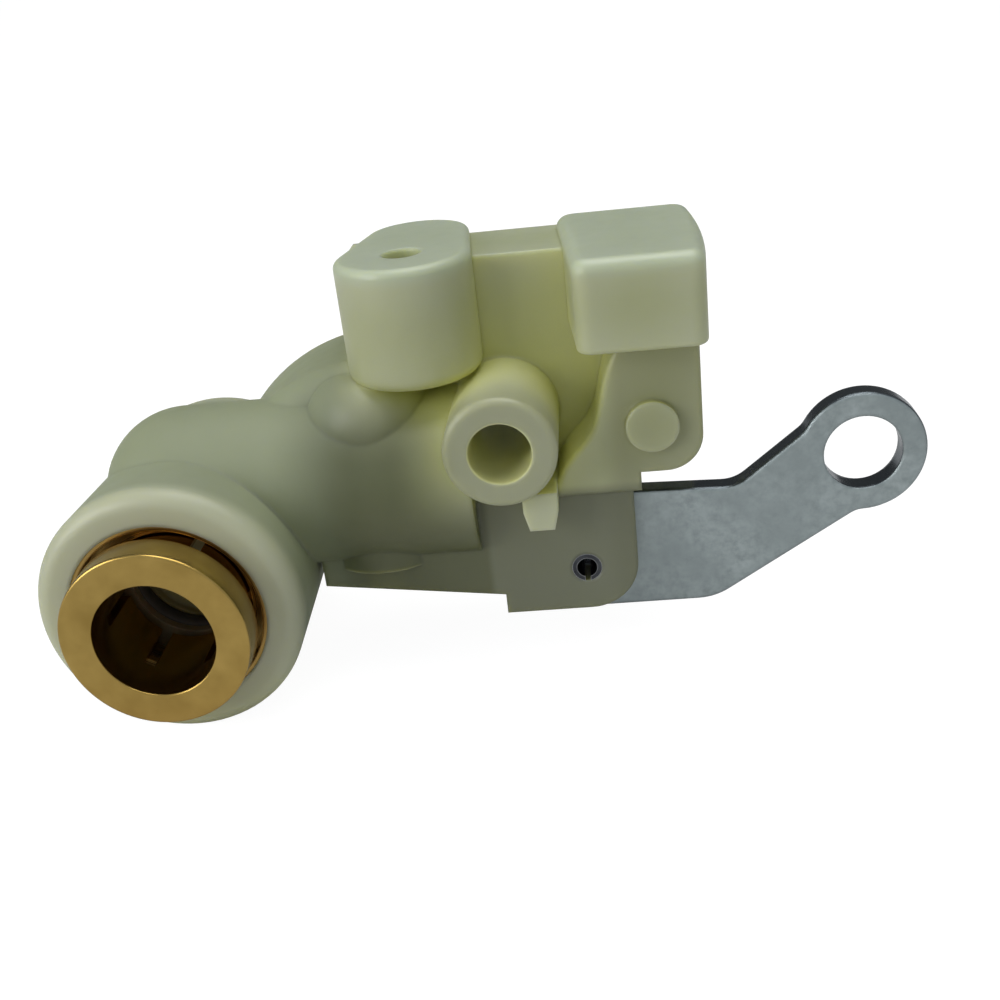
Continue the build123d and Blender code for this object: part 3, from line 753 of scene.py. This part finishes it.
# %% Helpers for node trees of geometry
def new_growth_tree(name, inputs):
    """Starts a geometry node tree with a geometry input and named values."""
    tree = bpy.data.node_groups.new(name, "GeometryNodeTree")
    tree.interface.new_socket("Geometry", in_out="INPUT", socket_type="NodeSocketGeometry")
    for label, kind, value in inputs:
        socket = tree.interface.new_socket(label, in_out="INPUT", socket_type=kind)
        if value is not None:
            socket.default_value = value
    tree.interface.new_socket("Geometry", in_out="OUTPUT", socket_type="NodeSocketGeometry")
    return tree, add(tree, "NodeGroupInput"), add(tree, "NodeGroupOutput")


def grown(base, tree, name, values):
    """Runs a tree on a mesh and gives the result as a plain object."""
    seed = bpy.data.objects.new(name, base)
    scene.collection.objects.link(seed)
    modifier = seed.modifiers.new("grow", "NODES")
    modifier.node_group = tree
    for item in tree.interface.items_tree:
        if item.in_out == "INPUT" and item.name in values:
            modifier[item.identifier] = values[item.name]
    shape = seed.evaluated_get(bpy.context.evaluated_depsgraph_get())
    made = bpy.data.meshes.new_from_object(shape)
    seed.modifiers.clear()
    seed.data = made
    made.name = name
    return seed


# %% Tree: fingers round a port
MATERIAL = "NodeSocketMaterial"
INTEGER = "NodeSocketInt"
ring_tree, start, finish = new_growth_tree(
    "fingers_round_port",
    [
        ("Fingers", INTEGER, FINGERS),
        ("Port", VECTOR, (0, 0, 0)),
        ("Half turn", FLOAT, 0.0),
        ("Finish", MATERIAL, None),
    ],
)
spots = add(ring_tree, "GeometryNodePoints")
ring_tree.links.new(start.outputs["Fingers"], spots.inputs["Count"])
number = add(ring_tree, "GeometryNodeInputIndex")
step = math_node(ring_tree, "DIVIDE", 2 * pi, start.outputs["Fingers"])
angle = math_node(ring_tree, "MULTIPLY", step, number.outputs["Index"])
spin = add(ring_tree, "ShaderNodeCombineXYZ")
ring_tree.links.new(angle, spin.inputs["Y"])
copies = add(ring_tree, "GeometryNodeInstanceOnPoints")
ring_tree.links.new(spots.outputs[0], copies.inputs["Points"])
ring_tree.links.new(start.outputs["Geometry"], copies.inputs["Instance"])
ring_tree.links.new(spin.outputs[0], copies.inputs["Rotation"])
real = add(ring_tree, "GeometryNodeRealizeInstances")
ring_tree.links.new(copies.outputs[0], real.inputs[0])
joined = add(ring_tree, "GeometryNodeMergeByDistance")
joined.inputs["Distance"].default_value = JOIN_WITHIN
ring_tree.links.new(real.outputs[0], joined.inputs["Geometry"])
half_turn = add(ring_tree, "ShaderNodeCombineXYZ")
ring_tree.links.new(start.outputs["Half turn"], half_turn.inputs["Z"])
carried = add(ring_tree, "GeometryNodeTransform")
ring_tree.links.new(joined.outputs[0], carried.inputs["Geometry"])
ring_tree.links.new(start.outputs["Port"], carried.inputs["Translation"])
ring_tree.links.new(half_turn.outputs[0], carried.inputs["Rotation"])
coated = add(ring_tree, "GeometryNodeSetMaterial")
ring_tree.links.new(carried.outputs[0], coated.inputs["Geometry"])
ring_tree.links.new(start.outputs["Finish"], coated.inputs["Material"])
ring_tree.links.new(coated.outputs[0], finish.inputs[0])

# %% Two release collets
PORT = (PORT_X * MM, 0.0, PORT_Z * MM)
for port, half in (("delivery", 0.0), ("supply", pi)):
    collet = grown(
        finger_mesh(port + "_finger"),
        ring_tree,
        port + "_release_collet",
        {"Fingers": FINGERS, "Port": PORT, "Half turn": half, "Finish": collet_brass},
    )
    collet.data.shade_smooth()
    collet.data.set_sharp_from_angle(angle=CREASE)
    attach(collet, port + "_release")
    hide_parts(port + "_collet")
    print(collet.name, "faces:", len(collet.data.polygons))

# %% [markdown]
# The return spring is wound from round wire with its end turns closed, so that it
# stands square. Its shape follows a rule, so a tree winds it: the points of a line
# are moved onto a helix, whose pitch is one wire at the ends and open between them.

# %% Tree: wound spring
POINTS_ALONG_WIRE, POINTS_ROUND_WIRE = 260, 14
spring_tree, start, finish = new_growth_tree(
    "wound_spring",
    [
        ("Turns", FLOAT, 4.5),
        ("Closed share", FLOAT, 0.11),
        ("Coil radius", FLOAT, 0.002),
        ("Wire radius", FLOAT, 0.0002),
        ("Height", FLOAT, 0.004),
        ("Foot", VECTOR, (0, 0, 0)),
        ("Finish", MATERIAL, None),
    ],
)
line = add(spring_tree, "GeometryNodeCurvePrimitiveLine")
dense = add(spring_tree, "GeometryNodeResampleCurve")
dense.inputs["Count"].default_value = POINTS_ALONG_WIRE
spring_tree.links.new(line.outputs[0], dense.inputs["Curve"])
along = add(spring_tree, "GeometryNodeSplineParameter").outputs["Factor"]
turns = math_node(spring_tree, "MULTIPLY", start.outputs["Turns"], 2 * pi)
angle = math_node(spring_tree, "MULTIPLY", along, turns)
coil = start.outputs["Coil radius"]
flat_x = product(spring_tree, math_node(spring_tree, "COSINE", angle), coil)
flat_y = product(spring_tree, math_node(spring_tree, "SINE", angle), coil)
wire = math_node(spring_tree, "MULTIPLY", start.outputs["Wire radius"], 2.0)
solid_height = math_node(spring_tree, "MULTIPLY", wire, start.outputs["Turns"])
opened = add(spring_tree, "ShaderNodeMapRange")
spring_tree.links.new(along, opened.inputs["Value"])
spring_tree.links.new(start.outputs["Closed share"], opened.inputs["From Min"])
top_share = math_node(spring_tree, "SUBTRACT", 1.0, start.outputs["Closed share"])
spring_tree.links.new(top_share, opened.inputs["From Max"])
spare = math_node(spring_tree, "SUBTRACT", start.outputs["Height"], solid_height)
rise = math_node(
    spring_tree,
    "ADD",
    math_node(spring_tree, "MULTIPLY", along, solid_height),
    math_node(spring_tree, "MULTIPLY", opened.outputs[0], spare),
)
spot = add(spring_tree, "ShaderNodeCombineXYZ")
for socket, value in zip(spot.inputs, (flat_x, flat_y, rise)):
    spring_tree.links.new(value, socket)
moved = add(spring_tree, "GeometryNodeSetPosition")
spring_tree.links.new(dense.outputs[0], moved.inputs["Geometry"])
spring_tree.links.new(spot.outputs[0], moved.inputs["Position"])
section = add(spring_tree, "GeometryNodeCurvePrimitiveCircle")
section.inputs["Resolution"].default_value = POINTS_ROUND_WIRE
spring_tree.links.new(start.outputs["Wire radius"], section.inputs["Radius"])
wound = add(spring_tree, "GeometryNodeCurveToMesh")
wound.inputs["Fill Caps"].default_value = True
spring_tree.links.new(moved.outputs[0], wound.inputs["Curve"])
spring_tree.links.new(section.outputs[0], wound.inputs["Profile Curve"])
carried = add(spring_tree, "GeometryNodeTransform")
spring_tree.links.new(wound.outputs[0], carried.inputs["Geometry"])
spring_tree.links.new(start.outputs["Foot"], carried.inputs["Translation"])
real = add(spring_tree, "GeometryNodeRealizeInstances")
spring_tree.links.new(carried.outputs[0], real.inputs[0])
coated = add(spring_tree, "GeometryNodeSetMaterial")
spring_tree.links.new(real.outputs[0], coated.inputs["Geometry"])
spring_tree.links.new(start.outputs["Finish"], coated.inputs["Material"])
spring_tree.links.new(coated.outputs[0], finish.inputs[0])

# %% [markdown]
# The spring stands between the poppet and the roof of its chamber. As the poppet
# rises the spring shortens towards the roof.

# %% Return spring
SPRING_FOOT, SPRING_TOP = 9.6, 14.0
WIRE_R, COIL_R = 0.22, 2.24
COIL_TURNS, CLOSED_TURNS = 4.5, 0.5
spring_long = SPRING_TOP - SPRING_FOOT
spring = grown(
    bpy.data.meshes.new("spring_start"),
    spring_tree,
    "wound_return_spring",
    {
        "Turns": COIL_TURNS,
        "Closed share": CLOSED_TURNS / COIL_TURNS,
        "Coil radius": COIL_R * MM,
        "Wire radius": WIRE_R * MM,
        "Height": (spring_long - 2 * WIRE_R) * MM,
        "Foot": (VALVE_X * MM, 0.0, (PORT_Z + SPRING_FOOT + WIRE_R) * MM),
        "Finish": spring_steel,
    },
)
spring.data.shade_smooth()
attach(spring, "fixed_valve")
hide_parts("return_spring")
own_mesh(spring)
print("spring faces:", len(spring.data.polygons))
